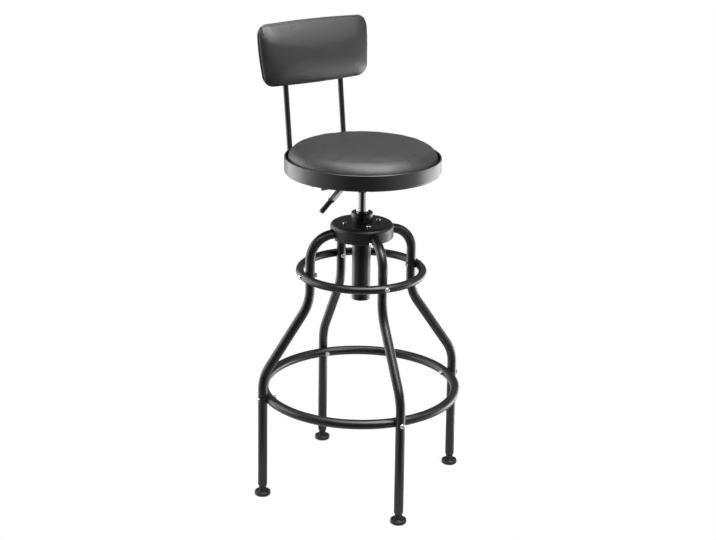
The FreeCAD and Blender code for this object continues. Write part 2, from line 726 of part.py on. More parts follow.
def make_cylinder_group():
    cylinder = lathe([
        (CYLINDER_BORE / 2, CYLINDER_BOTTOM_Z, 0),
        (CYLINDER_D / 2, CYLINDER_BOTTOM_Z, CYLINDER_EDGE),
        (CYLINDER_D / 2, SOCKET_BOTTOM_Z, 0),
        (CYLINDER_TOP_D / 2, CYLINDER_TOP_Z, 0),
        (CYLINDER_SOCKET_BORE / 2, CYLINDER_TOP_Z, 0),
        (CYLINDER_SOCKET_BORE / 2, VALVE_TOP_Z - VALVE_H, 0),
        (CYLINDER_BORE / 2, VALVE_TOP_Z - VALVE_H, 0),
    ])
    save("gas_cylinder", cylinder)
    gland = disc(CYLINDER_BORE - 2 * SLIDE_GAP, CYLINDER_BOTTOM_Z + GLAND_INSET, GLAND_TOP_Z)
    save("gland", gland.cut(disc(ROD_D + 2 * SLIDE_GAP, CYLINDER_BOTTOM_Z, GLAND_TOP_Z)))
    valve = disc(CYLINDER_SOCKET_BORE - 2 * SLIDE_GAP, VALVE_TOP_Z - VALVE_H, VALVE_TOP_Z)
    bore = disc(BUTTON_D + 2 * SLIDE_GAP, VALVE_TOP_Z - VALVE_BORE_DEPTH, VALVE_TOP_Z)
    save("valve_body", valve.cut(bore))
    button_r = BUTTON_D / 2
    button = lathe([
        (0, BUTTON_TOP_Z - BUTTON_LENGTH, 0),
        (button_r, BUTTON_TOP_Z - BUTTON_LENGTH, 0),
        (button_r, BUTTON_TOP_Z, BUTTON_EDGE),
        (0, BUTTON_TOP_Z, 0),
    ])
    save("valve_button", button)


# Channel, socket, pivot and lever


def channel_section():
    """Outline across the channel, open side down, in the plane X = 0."""
    half = CHANNEL_WIDTH / 2
    inner = half - CHANNEL_SHEET
    points = [
        (-half, CHANNEL_BOTTOM_Z, 0),
        (-half, SEAT_BOTTOM_Z, CHANNEL_CORNER),
        (half, SEAT_BOTTOM_Z, CHANNEL_CORNER),
        (half, CHANNEL_BOTTOM_Z, 0),
        (inner, CHANNEL_BOTTOM_Z, 0),
        (inner, CHANNEL_WEB_Z, CHANNEL_CORNER - CHANNEL_SHEET),
        (-inner, CHANNEL_WEB_Z, CHANNEL_CORNER - CHANNEL_SHEET),
        (-inner, CHANNEL_BOTTOM_Z, 0),
    ]
    corners = [FreeCAD.Vector(-CHANNEL_LENGTH / 2, y, z) for y, z, _ in points]
    return rounded_path(corners, [rounding for _, _, rounding in points], True)


def channel_bolt_places():
    places = []
    for x in (-CHANNEL_BOLT_X, CHANNEL_BOLT_X):
        for y in (-CHANNEL_BOLT_Y, CHANNEL_BOLT_Y):
            places.append((x, y))
    return places


def make_channel_group():
    channel = Part.Face(channel_section()).extrude(X_AXIS * CHANNEL_LENGTH)
    holes = []
    for x, y in channel_bolt_places():
        hole = disc(SCREW_HOLE_D, CHANNEL_WEB_Z - OVERCUT, SEAT_BOTTOM_Z + OVERCUT)
        hole.translate(FreeCAD.Vector(x, y, 0))
        holes.append(hole)
    pin_hole = Part.makeCylinder(PIVOT_PIN_D / 2 + PIN_GAP, CHANNEL_WIDTH + 2 * OVERCUT)
    pin_start = FreeCAD.Vector(PIVOT_X, -CHANNEL_WIDTH / 2 - OVERCUT, PIVOT_Z)
    holes.append(aimed(pin_hole, pin_start, Y_AXIS))
    save("support_channel", channel.cut(holes))

    taper_top = CYLINDER_TOP_D / 2 + SLIDE_GAP
    taper_bottom = CYLINDER_D / 2 + SLIDE_GAP
    socket = disc(SOCKET_D, SOCKET_BOTTOM_Z, SOCKET_TOP_Z)
    half_length = SOCKET_PLATE_LENGTH / 2
    half_width = CHANNEL_WIDTH / 2
    plate_bottom = CHANNEL_BOTTOM_Z - SOCKET_PLATE
    plate = box(-half_length, half_length, -half_width, half_width, plate_bottom, CHANNEL_BOTTOM_Z)
    bore = lathe([
        (0, SOCKET_BOTTOM_Z, 0),
        (taper_bottom, SOCKET_BOTTOM_Z, 0),
        (taper_top, CYLINDER_TOP_Z, 0),
        (0, CYLINDER_TOP_Z, 0),
    ])
    save("taper_socket", socket.fuse(plate).cut(bore).removeSplitter())

    half_pin = CHANNEL_WIDTH / 2 + PIN_GAP
    pin = Part.makeCylinder(PIVOT_PIN_D / 2, 2 * half_pin)
    head = Part.makeCylinder(PIN_HEAD_D / 2, PIN_HEAD_H)
    far_head = head.copy()
    head.translate(FreeCAD.Vector(0, 0, -PIN_HEAD_H))
    far_head.translate(FreeCAD.Vector(0, 0, 2 * half_pin))
    pin = pin.fuse([head, far_head]).removeSplitter()
    save("lever_pin", aimed(pin, FreeCAD.Vector(PIVOT_X, -half_pin, PIVOT_Z), Y_AXIS))


def lever_frame():
    """Along the lever towards its tip, up from it, and the point where its slope starts."""
    slope = math.radians(LEVER_SLOPE)
    along = FreeCAD.Vector(-math.cos(slope), 0, -math.sin(slope))
    up = FreeCAD.Vector(-math.sin(slope), 0, math.cos(slope))
    return along, up, FreeCAD.Vector(PIVOT_X, 0, PIVOT_Z)


def lever_bar(start, end, bottom, top, width, rounding=0):
    """A straight bar on the sloping part, from start to end along it."""
    along, up, origin = lever_frame()
    bar = Part.makeBox(end - start, width, top - bottom, FreeCAD.Vector(start, -width / 2, bottom))
    if rounding > 0:
        bar = bar.makeFillet(rounding, bar.Edges)
    turn = FreeCAD.Rotation(along, Y_AXIS, up, "XZY")
    bar.Placement = FreeCAD.Placement(origin, turn).multiply(bar.Placement)
    return bar


def make_lever_group():
    along, up, origin = lever_frame()
    nose_bottom = BUTTON_TOP_Z + LEVER_GAP
    nose_top = nose_bottom + LEVER_NOSE_H
    half_depth = LEVER_DEPTH / 2
    end_bottom = half_depth - LEVER_END_DEPTH

    def on_slope(offset, height):
        """The point at this height on the line that lies offset above the centre line."""
        start = origin + up * offset
        return start + along * ((height - start.z) / along.z)

    outline = [
        FreeCAD.Vector(LEVER_NOSE_X, 0, nose_bottom),
        FreeCAD.Vector(LEVER_NOSE_X, 0, nose_top),
        on_slope(half_depth, nose_top),
        origin + up * half_depth + along * LEVER_ARM,
        origin + up * end_bottom + along * LEVER_ARM,
        origin - up * half_depth,
        on_slope(-half_depth, nose_bottom),
    ]
    arm = prism([point - Y_AXIS * (LEVER_WIDTH / 2) for point in outline], 0, Y_AXIS * LEVER_WIDTH)
    hollow_start = PIVOT_SLEEVE_D / 2 + LEVER_SHEET
    hollow_top = half_depth - LEVER_SHEET
    hollow_width = LEVER_WIDTH - 2 * LEVER_SHEET
    hollow_end = LEVER_ARM - LEVER_SHEET
    hollow = lever_bar(hollow_start, hollow_end, -LEVER_END_DEPTH, hollow_top, hollow_width)
    half_tang = LEVER_TANG_DEPTH / 2
    tang_end = LEVER_ARM + LEVER_TANG
    tang = lever_bar(LEVER_ARM - LEVER_SHEET, tang_end, -half_tang, half_tang, LEVER_TANG_WIDTH)
    sleeve_length = CHANNEL_WIDTH - 2 * CHANNEL_SHEET - 2 * LEVER_GAP
    sleeve_start = FreeCAD.Vector(PIVOT_X, -sleeve_length / 2, PIVOT_Z)
    sleeve_bar = aimed(Part.makeCylinder(PIVOT_SLEEVE_D / 2, sleeve_length), sleeve_start, Y_AXIS)
    pin_hole = Part.makeCylinder(PIVOT_PIN_D / 2 + PIN_GAP, sleeve_length)
    arm = arm.cut(hollow).fuse([sleeve_bar, tang]).cut(aimed(pin_hole, sleeve_start, Y_AXIS))
    save("lever_arm", arm.removeSplitter())

    grip_end = LEVER_ARM + GRIP_GAP + GRIP_LENGTH
    grip_start = LEVER_ARM + GRIP_GAP
    half_grip = GRIP_DEPTH / 2
    grip = lever_bar(grip_start, grip_end, -half_grip, half_grip, GRIP_WIDTH, GRIP_EDGE)
    flare = half_grip + GRIP_COLLAR_RISE
    flare_width = GRIP_WIDTH + 2 * GRIP_COLLAR_RISE
    collar_end = grip_start + GRIP_COLLAR
    grip = grip.fuse(lever_bar(grip_start, collar_end, -flare, flare, flare_width, GRIP_COLLAR / 4))
    space = half_tang + GRIP_GAP
    space_width = LEVER_TANG_WIDTH + 2 * GRIP_GAP
    grip = grip.cut(lever_bar(LEVER_ARM, tang_end + GRIP_GAP, -space, space, space_width))
    save("lever_grip", grip.removeSplitter())


# Seat


def post_bolt_places():
    places = []
    for x in (-POST_SPACING / 2, POST_SPACING / 2):
        for inset in POST_BOLT_INSET:
            places.append((x, POST_SETBACK - inset))
    return places


def seat_places():
    return channel_bolt_places() + post_bolt_places()


def make_seat_group():
    radius = SEAT_D / 2
    rim_z = SEAT_BOTTOM_Z + PAN_H
    pan = lathe([
        (0, SEAT_BOTTOM_Z, 0),
        (radius, SEAT_BOTTOM_Z, PAN_CORNER),
        (radius, rim_z - PAN_BEAD / 2, 0),
        (radius - PAN_SHEET, rim_z - PAN_BEAD / 2, 0),
        (radius - PAN_SHEET, BOARD_Z, PAN_CORNER - PAN_SHEET),
        (0, BOARD_Z, 0),
    ])
    bead_centre = FreeCAD.Vector(0, 0, rim_z - PAN_BEAD / 2)
    pan = pan.fuse(Part.makeTorus(radius - PAN_BEAD / 2, PAN_BEAD / 2, bead_centre))
    holes = []
    pockets = []
    tee_nuts = []
    for x, y in seat_places():
        hole = disc(SCREW_HOLE_D, SEAT_BOTTOM_Z - OVERCUT, BOARD_Z + OVERCUT)
        hole.translate(FreeCAD.Vector(x, y, 0))
        holes.append(hole)
        place = FreeCAD.Vector(x, y, BOARD_TOP_Z)
        pockets.append(aimed(tee_pocket(), place, Z_AXIS))
        tee_nuts.append(aimed(tee_nut(), place, Z_AXIS))
    save("seat_pan", pan.cut(holes).removeSplitter())
    save("seat_board", disc(BOARD_D, BOARD_Z, BOARD_TOP_Z).cut(pockets))
    save("seat_tee_nuts", *tee_nuts)
    save("seat_cushion", make_cushion())

    channel_bolt = hex_bolt(BOARD_TOP_Z - CHANNEL_WEB_Z - TEE_FLANGE_H)
    bolts = []
    for x, y in channel_bolt_places():
        bolts.append(aimed(channel_bolt, FreeCAD.Vector(x, y, CHANNEL_WEB_Z), -Z_AXIS))
    save("channel_bolts", *bolts)


def make_cushion():
    """A crowned round cushion: tucked foot, upright side, rounded shoulder and shallow dome."""
    radius = CUSHION_D / 2
    shoulder_z = SEAT_BOTTOM_Z + CUSHION_SHOULDER_Z
    top_z = shoulder_z + CUSHION_CROWN
    inner = radius - CUSHION_SHOULDER
    rise = CUSHION_CROWN - CUSHION_SHOULDER
    dome = (inner ** 2 + CUSHION_CROWN ** 2 - CUSHION_SHOULDER ** 2) / (2 * rise)
    tilt = math.asin(inner / (dome - CUSHION_SHOULDER))

    def on_dome(angle):
        return FreeCAD.Vector(dome * math.sin(angle), 0, top_z - dome + dome * math.cos(angle))

    def on_shoulder(angle):
        x = inner + CUSHION_SHOULDER * math.sin(angle)
        return FreeCAD.Vector(x, 0, shoulder_z + CUSHION_SHOULDER * math.cos(angle))

    side = math.pi / 2
    foot = FreeCAD.Vector(radius - CUSHION_FOOT_INSET, 0, BOARD_TOP_Z)
    tuck_top = FreeCAD.Vector(radius, 0, BOARD_TOP_Z + CUSHION_TUCK)
    centre = FreeCAD.Vector(0, 0, BOARD_TOP_Z)
    tuck_middle = (foot + tuck_top) / 2 + FreeCAD.Vector(CUSHION_FOOT_INSET / 4, 0, 0)
    edges = [
        Part.LineSegment(centre, foot).toShape(),
        Part.Arc(foot, tuck_middle, tuck_top).toShape(),
        Part.LineSegment(tuck_top, on_shoulder(side)).toShape(),
        Part.Arc(on_shoulder(side), on_shoulder((side + tilt) / 2), on_dome(tilt)).toShape(),
        Part.Arc(on_dome(tilt), on_dome(tilt / 2), on_dome(0)).toShape(),
        Part.LineSegment(on_dome(0), centre).toShape(),
    ]
    return Part.Face(Part.Wire(edges)).revolve(FreeCAD.Vector(), Z_AXIS, 360)


# Backrest posts


def post_points(x):
    lean = math.radians(POST_RECLINE)
    top_y = POST_SETBACK + POST_LENGTH * math.sin(lean)
    top_z = POST_RUN_Z + POST_LENGTH * math.cos(lean)
    return [
        FreeCAD.Vector(x, POST_SETBACK - POST_RUN, POST_RUN_Z),
        FreeCAD.Vector(x, POST_SETBACK, POST_RUN_Z),
        FreeCAD.Vector(x, top_y, top_z),
    ]


def leaned(shape):
    """Move a shape built round an upright post line at Y = 0 onto the leaning posts."""
    placed = shape.copy()
    lean = FreeCAD.Rotation(X_AXIS, -POST_RECLINE)
    seat_corner = FreeCAD.Placement(FreeCAD.Vector(0, POST_SETBACK, POST_RUN_Z), lean)
    placed.Placement = seat_corner.multiply(placed.Placement)
    return placed


def back_screw_places():
    places = []
    for x in (-POST_SPACING / 2, POST_SPACING / 2):
        for rise in BACK_SCREW_RISE:
            places.append((x, PAD_RISE + rise))
    return places


def post_cap():
    """A plug for a tube end, built with its lip below the origin."""
    bore = POST_TUBE - 2 * POST_WALL
    lip = lathe([
        (0, -POST_CAP_LIP, 0),
        (POST_TUBE / 2, -POST_CAP_LIP, POST_CAP_LIP / 2),
        (POST_TUBE / 2, 0, 0),
        (0, 0, 0),
    ])
    return lip.fuse(disc(bore - 2 * POST_CAP_GAP, 0, POST_CAP_INSERT)).removeSplitter()


def make_post_group():
    saddles = []
    bolts = []
    caps = []
    bolt_length = BOARD_TOP_Z - TEE_FLANGE_H - POST_RUN_Z + POST_TUBE / 2 - SPOT_FACE
    half_tube = POST_TUBE / 2
    below = POST_RUN_Z - half_tube - OVERCUT
    for side, x in (("right", -POST_SPACING / 2), ("left", POST_SPACING / 2)):
        points = post_points(x)
        bends = [0, POST_BEND, 0]
        post = bent_rod(points, bends, POST_TUBE)
        post = post.cut(bent_rod(points, bends, POST_TUBE - 2 * POST_WALL))
        run = Part.makeCylinder(half_tube + DIMPLE_GAP, POST_SETBACK)
        run = aimed(run, FreeCAD.Vector(x, 0, POST_RUN_Z), Y_AXIS)
        for inset in POST_BOLT_INSET:
            y = POST_SETBACK - inset
            hole = disc(SCREW_HOLE_D, below, BOARD_Z)
            hole.translate(FreeCAD.Vector(x, y, 0))
            flat = disc(HEAD_D + 2 * SPOT_FACE, below, POST_RUN_Z - half_tube + SPOT_FACE)
            flat.translate(FreeCAD.Vector(x, y, 0))
            post = post.cut([hole, flat])
            across = SADDLE_ACROSS / 2
            saddle = box(x - across, x + across, y - SADDLE_LENGTH / 2, y + SADDLE_LENGTH / 2,
                         POST_RUN_Z, SEAT_BOTTOM_Z)
            saddles.append(saddle.cut([run, hole]))
            seat = FreeCAD.Vector(x, y, POST_RUN_Z - half_tube + SPOT_FACE)
            bolts.append(aimed(hex_bolt(bolt_length), seat, -Z_AXIS))
        holes = []
        for screw_x, rise in back_screw_places():
            if screw_x == x:
                holes.append(leaned(back_hole(screw_x, rise)))
        save("back_post_" + side, post.cut(holes))
        caps.append(aimed(post_cap(), points[0], points[1] - points[0]))
        caps.append(aimed(post_cap(), points[2], points[1] - points[2]))
    save("post_saddles", *saddles)
    save("post_bolts", *bolts)
    save("post_caps", *caps)


def back_hole(x, rise):
    """Hole through a post with a flat seat for the screw head behind it."""
    start = FreeCAD.Vector(x, POST_TUBE / 2 + OVERCUT, rise)
    hole = Part.makeCylinder(SCREW_HOLE_D / 2, POST_TUBE + 2 * OVERCUT)
    flat = Part.makeCylinder(HEAD_D / 2 + SPOT_FACE, OVERCUT + SPOT_FACE)
    return aimed(hole.fuse(flat), start, -Y_AXIS)


# Backrest, built upright with the post line at Y = 0, its front towards -Y


def pad_outline(inset, y):
    """Rounded outline, wider at the top and slightly bowed, drawn in all round by inset."""
    half_w = PAD_WIDTH / 2 - inset
    half_h = PAD_HEIGHT / 2 - inset
    round_r = min(PAD_CORNER, half_h * PAD_CORNER / (PAD_HEIGHT / 2) + PAD_BOW)
    middle_z = PAD_RISE + PAD_HEIGHT / 2
    straight_w = half_w - PAD_BOW
    straight_h = half_h - PAD_BOW
    diagonal = round_r * (1 - math.sqrt(0.5))

    def at(x, z):
        taper = 1 + PAD_TAPER / (PAD_WIDTH / 2) * z / (PAD_HEIGHT / 2)
        return FreeCAD.Vector(x * taper, y, middle_z + z)

    edges = []
    for sx, sz in ((1, 1), (-1, -1)):
        side_start = at(sx * straight_w, -sz * (straight_h - round_r))
        side_end = at(sx * straight_w, sz * (straight_h - round_r))
        top_start = at(sx * (straight_w - round_r), sz * straight_h)
        top_end = at(-sx * (straight_w - round_r), sz * straight_h)
        next_side = at(-sx * straight_w, sz * (straight_h - round_r))
        corner_a = at(sx * (straight_w - diagonal), sz * (straight_h - diagonal))
        corner_b = at(-sx * (straight_w - diagonal), sz * (straight_h - diagonal))
        edges.append(Part.Arc(side_start, at(sx * half_w, 0), side_end).toShape())
        edges.append(Part.Arc(side_end, corner_a, top_start).toShape())
        edges.append(Part.Arc(top_start, at(0, sz * half_h), top_end).toShape())
        edges.append(Part.Arc(top_end, corner_b, next_side).toShape())
    return Part.Wire(edges)


def back_plate(inset, front, thick):
    """A flat plate of the pad's outline, drawn in by inset, from front back to front + thick."""
    return Part.Face(pad_outline(inset, front)).extrude(Y_AXIS * thick)


def make_pad(pad_back, board_front):
    """Crowned pad: sides drawn in at the back, a widest line, and a pillow front."""
    widest = pad_back - PAD_SIDE
    sections = [
        pad_outline(PAD_TUCK, pad_back),
        pad_outline(PAD_TUCK / 4, pad_back - PAD_SIDE / 2),
    ]
    for step in range(PAD_STEPS + 1):
        angle = math.radians(PAD_LAST_STEP * step / PAD_STEPS)
        inset = PAD_CROWN_REACH * (1 - math.cos(angle))
        sections.append(pad_outline(inset, widest - PAD_CROWN * math.sin(angle)))
    pad = Part.makeLoft(sections, True, False)
    inset = BACK_BOARD_INSET - BACK_GAP
    depth = pad_back - board_front + BACK_GAP + OVERCUT
    return pad.cut(back_plate(inset, board_front - BACK_GAP, depth))


def make_back_group():
    panel_back = -POST_TUBE / 2 - BACK_GAP
    board_back = panel_back - BACK_PANEL_THICK
    board_front = board_back - BACK_BOARD_THICK
    panel = back_plate(BACK_PANEL_INSET, board_back, BACK_PANEL_THICK)
    board = back_plate(BACK_BOARD_INSET, board_front, BACK_BOARD_THICK)
    head_y = POST_TUBE / 2 - SPOT_FACE
    length = head_y - board_front - TEE_FLANGE_H
    screws = []
    tee_nuts = []
    for x, rise in back_screw_places():
        hole = Part.makeCylinder(SCREW_HOLE_D / 2, BACK_PANEL_THICK)
        panel = panel.cut(aimed(hole, FreeCAD.Vector(x, board_back, rise), Y_AXIS))
        front = FreeCAD.Vector(x, board_front, rise)
        board = board.cut(aimed(tee_pocket(), front, -Y_AXIS))
        tee_nuts.append(leaned(aimed(tee_nut(), front, -Y_AXIS)))
        screws.append(leaned(aimed(button_screw(length), FreeCAD.Vector(x, head_y, rise), Y_AXIS)))
    save("back_panel", leaned(panel))
    save("back_board", leaned(board))
    save("back_tee_nuts", *tee_nuts)
    save("back_screws", *screws)
    save("back_pad", leaned(make_pad(board_back, board_front)))


os.makedirs("parts", exist_ok=True)
make_legs_and_rings()
make_feet()
make_hub_group()
make_column_group()
make_rod_group()
make_cylinder_group()
make_channel_group()
make_lever_group()
make_seat_group()
make_post_group()
make_back_group()
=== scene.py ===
import math

import bpy
from mathutils import Matrix, Vector, kdtree, noise


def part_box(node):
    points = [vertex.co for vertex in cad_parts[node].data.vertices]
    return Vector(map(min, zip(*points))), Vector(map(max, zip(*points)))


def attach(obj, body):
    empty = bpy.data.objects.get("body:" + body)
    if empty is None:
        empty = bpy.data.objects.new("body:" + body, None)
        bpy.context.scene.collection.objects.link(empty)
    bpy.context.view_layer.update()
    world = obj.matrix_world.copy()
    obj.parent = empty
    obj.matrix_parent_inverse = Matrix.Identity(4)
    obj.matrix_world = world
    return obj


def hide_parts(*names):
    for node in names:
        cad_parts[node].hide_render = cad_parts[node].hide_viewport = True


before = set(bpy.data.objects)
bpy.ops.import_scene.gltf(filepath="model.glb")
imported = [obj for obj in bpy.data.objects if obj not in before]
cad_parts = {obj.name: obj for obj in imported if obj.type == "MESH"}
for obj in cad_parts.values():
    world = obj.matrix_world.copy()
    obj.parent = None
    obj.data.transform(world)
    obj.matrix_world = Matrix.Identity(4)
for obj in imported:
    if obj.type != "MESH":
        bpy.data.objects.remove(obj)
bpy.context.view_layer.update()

# Work stool: the finish of every part, the two upholstered pieces, the floor, lamps and
# camera. Metres. +Z is up and the sitter faces -Y.

# Camera at the photograph's place
CAMERA_PLACE = Vector((-2.0387535, -2.7126195, 1.6779394))
CAMERA_RIGHT = Vector((0.8034285, -0.5952411, 0.0138078))
CAMERA_UP = Vector((0.1792891, 0.2639802, 0.9477182))
CAMERA_LENS_MM = 76.97
CAMERA_SENSOR_MM = 36.0
TOWARDS_CAMERA = Vector((CAMERA_PLACE.x, CAMERA_PLACE.y, 0)).normalized()
TOWARDS_RIGHT = Vector((CAMERA_RIGHT.x, CAMERA_RIGHT.y, 0)).normalized()

# Seat cushion: a tucked foot, an upright side, a rounded shoulder and a shallow dome
SEAT_FOOT_INSET = 0.0035
SEAT_TUCK = 0.008
SEAT_TUCK_SHARES = (0.2, 0.5, 1.0)
SEAT_CROWN = 0.041
SEAT_SHOULDER = 0.030
SEAT_AROUND = 240
SEAT_BOTTOM_RINGS = 4
SEAT_SHOULDER_RINGS = 12
SEAT_DOME_RINGS = 20
SEAT_SLACK = 0.0015
SEAT_SIDE_SLACK = SEAT_SLACK / 3
SEAT_CAP = 0.0025

# Fine wrinkles near the seat's edge
SEAT_PUCKER = 0.00030
SEAT_PUCKER_REACH = 0.020
SEAT_WAVES = 9
SEAT_FINE_WAVES = 27
SEAT_WAVE_SHIFT = Vector((0, 0, 3))

# Backrest posts: the corner that the leaning part starts from
POST_CORNER = Vector((0, 0.1777, 0.76595))
POST_RECLINE = math.radians(6.7)

# Back pad, upright, before it leans with the posts
PAD_WIDTH = 0.307
PAD_HEIGHT = 0.148
PAD_RISE = 0.1838
PAD_CENTRE_Z = PAD_RISE + PAD_HEIGHT / 2
PAD_CORNER = 0.029
PAD_BOW = 0.0018
PAD_TAPER = 0.0048
PAD_BACK = 0.00905
PAD_SIDE = 0.003
PAD_WIDEST = PAD_BACK + PAD_SIDE
PAD_HELD = PAD_BACK + PAD_SIDE / 2
PAD_TUCK = 0.002
PAD_HELD_TUCK = PAD_TUCK / 4
PAD_CROWN = 0.029
PAD_REACH = 0.060
PAD_LAST_ANGLE = math.radians(78)
PAD_QUARTERS = ((1, 1), (-1, 1), (-1, -1), (1, -1))
PAD_CORNER_POINTS = 24
PAD_LONG_POINTS = 124
PAD_SHORT_POINTS = 44
PAD_CROWN_RINGS = 26
PAD_CENTRE_RINGS = 12
PAD_SLACK = 0.0020
PAD_CAP = 0.0025

# Pocket in the pad's back, which its board fills
POCKET_INSET = 0.0088
POCKET_DEPTH = 0.0112
POCKET_FLOOR = PAD_BACK + POCKET_DEPTH
POCKET_SHARES = (0.3, 0.65, 1.0)
POCKET_MARGIN = 1.1

# Seam round the pad's front panel, and the puckers at it
SEAM_ANGLE = math.radians(7)
SEAM_HALF_ANGLE = math.radians(4)
SEAM_STEPS = (-1, -0.4, 0, 0.4, 1)
SEAM_CLEARANCE = 1.6
SEAM_DEPTH = 0.0022
SEAM_WIDTH = 0.0014
PUCKER_DEPTH = 0.00045
PUCKER_REACH = 0.011
PUCKER_REACH_BEHIND = PUCKER_REACH / 3
PUCKER_PITCH = 0.0085

# Cloth simulation, and the evening out of the pad after it
VOXEL = 0.005
HELD_MARGIN = VOXEL / 8
STILL_MARGIN = VOXEL / 2
CLOTH_FRAMES = 20
CLOTH_PRESSURE = 4.0
SMOOTH_FACTOR = 0.5
START_SMOOTHING = 4
SEAT_EASE = 0.012
PAD_EASE = 0.006
FIELD_NEIGHBOURS = 32
PAD_SMOOTHING = 80
PAD_FREE_DEPTH = 0.008

# Floor
FLOOR_RADIUS = 0.46
FLOOR_CORNERS = 96
FLOOR_DROP = 0.0004
FLOOR_COLOUR = 0.42
FLOOR_GLOW = 0.42

# World: its levels, and the heights and directions between which they change
WORLD_AMBIENT = 0.35
WORLD_FRONT = 0.01
WORLD_BACK = 1.0
WORLD_HIGH = 0.21
WORLD_DEEP = 0.12
WORLD_RISE = (-0.31, -0.08)
WORLD_DEEP_RISE = (-0.8, -0.4)
WORLD_FRONT_FACING = (0.5, 0.92)

# Lamps: angle from the camera in degrees, distance, height, width, length and radiance
AIM_HEIGHT = 0.75
LAMPS = {
    "lamp_right": (110, 2.0, -0.2, 1.1, 1.0, 6.2),
    "lamp_side": (90, 2.0, 1.55, 0.7, 0.7, 3.5),
    "lamp_right_rear": (138, 2.2, -0.1, 1.1, 1.0, 3.4),
    "lamp_left": (-116, 2.0, 0.7, 1.6, 2.4, 3.0),
    "lamp_left_side": (-82, 2.0, 1.0, 0.6, 1.0, 5.0),
    "lamp_high": (42, 1.9, 2.55, 1.3, 1.2, 11.5),
    "lamp_over": (62, 0.95, 2.9, 1.0, 0.8, 9.0),
    "lamp_top": (5, 0.45, 2.9, 1.9, 3.2, 6.4),
}

# Which finish each CAD node gets
SIDES = ("right", "rear", "left", "front")
NODE_FINISHES = {
    "powder_coat": ["leg_clamp", "upper_ring", "foot_ring", "column_tube", "collar",
                    "back_post_left", "back_post_right"] + ["leg_" + side for side in SIDES],
    "cast_coat": ["hub"],
    "pan_paint": ["seat_pan", "support_channel", "taper_socket", "post_saddles", "back_panel"],
    "zinc": ["hub_screws", "hub_nuts", "upper_ring_screws", "upper_ring_nuts",
             "foot_ring_screws", "foot_ring_nuts", "channel_bolts", "seat_tee_nuts",
             "post_bolts", "back_screws", "back_tee_nuts", "lever_pin", "end_plate"],
    "ground_steel": ["piston_rod", "rod_clip", "bearing_race_upper", "bearing_race_lower",
                     "bearing_balls", "gland", "valve_body", "valve_button"]
                    + ["foot_stem_" + side for side in SIDES],
    "chrome": ["gas_cylinder"],
    "lever_steel": ["lever_arm"],
    "turned_aluminium": ["piston"],
    "pressed_brass": ["bearing_cage"],
    "seal_rubber": ["piston_seal"],
    "bush_plastic": ["guide_bush"],
    "black_plastic": ["leg_plugs", "post_caps"],
    "foot_rubber": ["foot_pad_" + side for side in SIDES],
    "grip_plastic": ["lever_grip"],
    "plywood": ["seat_board", "back_board"],
}
MICRON = 0.000001
FINISHES = {}


def add_object(obj):
    bpy.context.scene.collection.objects.link(obj)
    return obj


def ringed_mesh(name, first, rings, last):
    """A closed smooth mesh of equal rings between a first and a last pole."""
    around = len(rings[0])
    vertices = [first]
    for ring in rings:
        vertices.extend(ring)
    vertices.append(last)
    faces = []
    for k in range(around):
        after = (k + 1) % around
        faces.append((0, 1 + after, 1 + k))
    for index in range(len(rings) - 1):
        low = 1 + index * around
        high = low + around
        for k in range(around):
            after = (k + 1) % around
            faces.append((low + k, low + after, high + after, high + k))
    low = 1 + (len(rings) - 1) * around
    for k in range(around):
        faces.append((low + k, low + (k + 1) % around, len(vertices) - 1))
    mesh = bpy.data.meshes.new(name)
    mesh.from_pydata([tuple(v) for v in vertices], [], faces)
    mesh.polygons.foreach_set("use_smooth", [True] * len(faces))
    mesh.update()
    return add_object(bpy.data.objects.new(name, mesh))


# Cloth


def voxel_copy(piece):
    """An even mesh over the piece's form, for the cloth to start from."""
    start = add_object(bpy.data.objects.new("cloth_start", piece.data.copy()))
    remesh = start.modifiers.new("Remesh", "REMESH")
    remesh.mode = "VOXEL"
    remesh.voxel_size = VOXEL
    smooth = start.modifiers.new("Smooth", "SMOOTH")
    smooth.factor = SMOOTH_FACTOR
    smooth.iterations = START_SMOOTHING
    bpy.context.view_layer.update()
    evaluated = start.evaluated_get(bpy.context.evaluated_depsgraph_get())
    mesh = bpy.data.meshes.new_from_object(evaluated)
    bpy.data.objects.remove(start)
    return add_object(bpy.data.objects.new("cloth", mesh))


def inflated(piece, is_held, ease):
    """Where an even copy of the piece has its points, before and after it is blown up."""
    cloth = voxel_copy(piece)
    before = [v.co.copy() for v in cloth.data.vertices]
    held = cloth.vertex_groups.new(name="held")
    held.add([i for i, point in enumerate(before) if is_held(point)], 1.0, "REPLACE")
    modifier = cloth.modifiers.new("Cloth", "CLOTH")
    modifier.settings.vertex_group_mass = "held"
    modifier.settings.use_pressure = True
    modifier.settings.uniform_pressure_force = CLOTH_PRESSURE
    modifier.settings.shrink_min = ease
    modifier.settings.effector_weights.gravity = 0
    modifier.point_cache.frame_start = 1
    modifier.point_cache.frame_end = CLOTH_FRAMES
    for step in range(1, CLOTH_FRAMES + 1):
        bpy.context.scene.frame_set(step)
    evaluated = cloth.evaluated_get(bpy.context.evaluated_depsgraph_get())
    after = [v.co.copy() for v in evaluated.data.vertices]
    bpy.data.objects.remove(cloth)
    bpy.context.scene.frame_set(1)
    return before, after


def swell(piece, is_held, cap, ease):
    """Move the piece's points as the cloth moved near them, by less than the cap."""
    before, after = inflated(piece, is_held, ease)
    tree = kdtree.KDTree(len(before))
    for index, point in enumerate(before):
        tree.insert(point, index)
    tree.balance()
    for vertex in piece.data.vertices:
        if is_held(vertex.co):
            continue
        move = Vector()
        total = 0.0
        for point, index, distance in tree.find_n(vertex.co, FIELD_NEIGHBOURS):
            weight = 1 / (distance + VOXEL / 2) ** 2
            move += weight * (after[index] - before[index])
            total += weight
        move /= total
        if move.length > 0:
            vertex.co += move.normalized() * cap * math.tanh(move.length / cap)
    piece.data.update()


